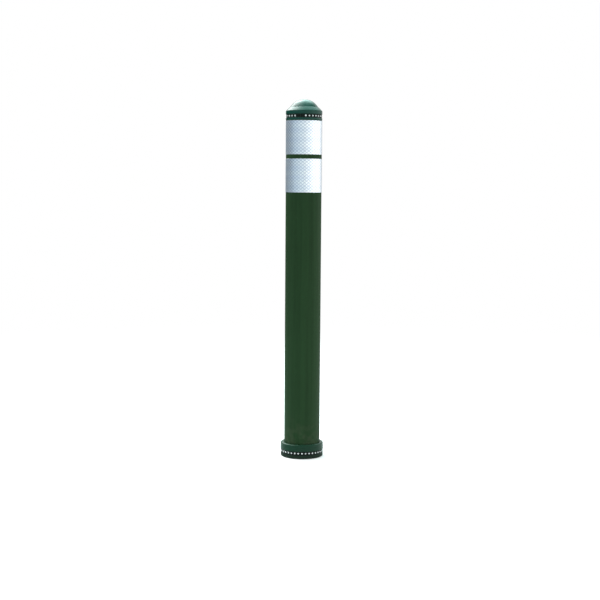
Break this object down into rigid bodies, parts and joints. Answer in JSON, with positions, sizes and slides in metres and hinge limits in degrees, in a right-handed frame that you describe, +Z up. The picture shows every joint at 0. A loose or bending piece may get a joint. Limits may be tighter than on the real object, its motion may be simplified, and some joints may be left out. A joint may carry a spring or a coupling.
{
  "type": "flexible delineator post",
  "caption": "Flexible round road delineator post on a surface anchor, with a beaded cap and base and two reflective wraps; it bends over when struck and springs back.",
  "frame": {"origin": "on the ground at the middle of the foot, on the axis of the post", "axes": "+Z up along the post; traffic runs along X, and the reference view is from the roadside, looking along +Y"},
  "size_m": [0.0974, 0.0974, 0.8],
  "materials": {
    "tube_elastomer": "satin",
    "cap_plastic": "satin",
    "collar_plastic": "satin",
    "foot_plastic": "matte",
    "strip_plastic": "satin",
    "bead_glass": "polished",
    "mirror_foil": "polished",
    "reflective_sheet": "satin",
    "core_nylon": "matte",
    "zinc_steel": "satin",
    "stainless_steel": "satin",
    "seal_rubber": "matte"
  },
  "bodies": {
    "base": {"foot_plate": "foot_plastic", "base_collar": "collar_plastic", "base_bead_strip": "strip_plastic", "base_beads": "bead_glass", "base_bead_foil": "mirror_foil", "core_plug": "core_nylon", "core_screws": "zinc_steel", "collar_screws": "stainless_steel", "anchor_plate": "zinc_steel", "anchor_nut": "zinc_steel"},
    "flex": {"tube_flex_section": "tube_elastomer"},
    "post": {"post_tube": "tube_elastomer", "lower_reflective_sheet": "reflective_sheet", "upper_reflective_sheet": "reflective_sheet", "cap_plug_ring": "cap_plastic", "cap_seal": "seal_rubber", "cap_screws": "stainless_steel", "cap_dome": "cap_plastic", "cap_bead_strip": "strip_plastic", "cap_beads": "bead_glass", "cap_bead_foil": "mirror_foil"}
  },
  "joints": [
    {"name": "bend_along_road", "type": "hinge", "parent": "base", "child": "flex", "pos_m": [0, 0, 0.0819], "axis": [0, 1, 0], "range_deg": [-90, 90], "stiffness_Nm_per_rad": 60, "deforming": ["tube_flex_section"]},
    {"name": "bend_across_road", "type": "hinge", "parent": "flex", "child": "post", "pos_m": [0, 0, 0.1779], "axis": [1, 0, 0], "range_deg": [-90, 90], "stiffness_Nm_per_rad": 60}
  ]
}
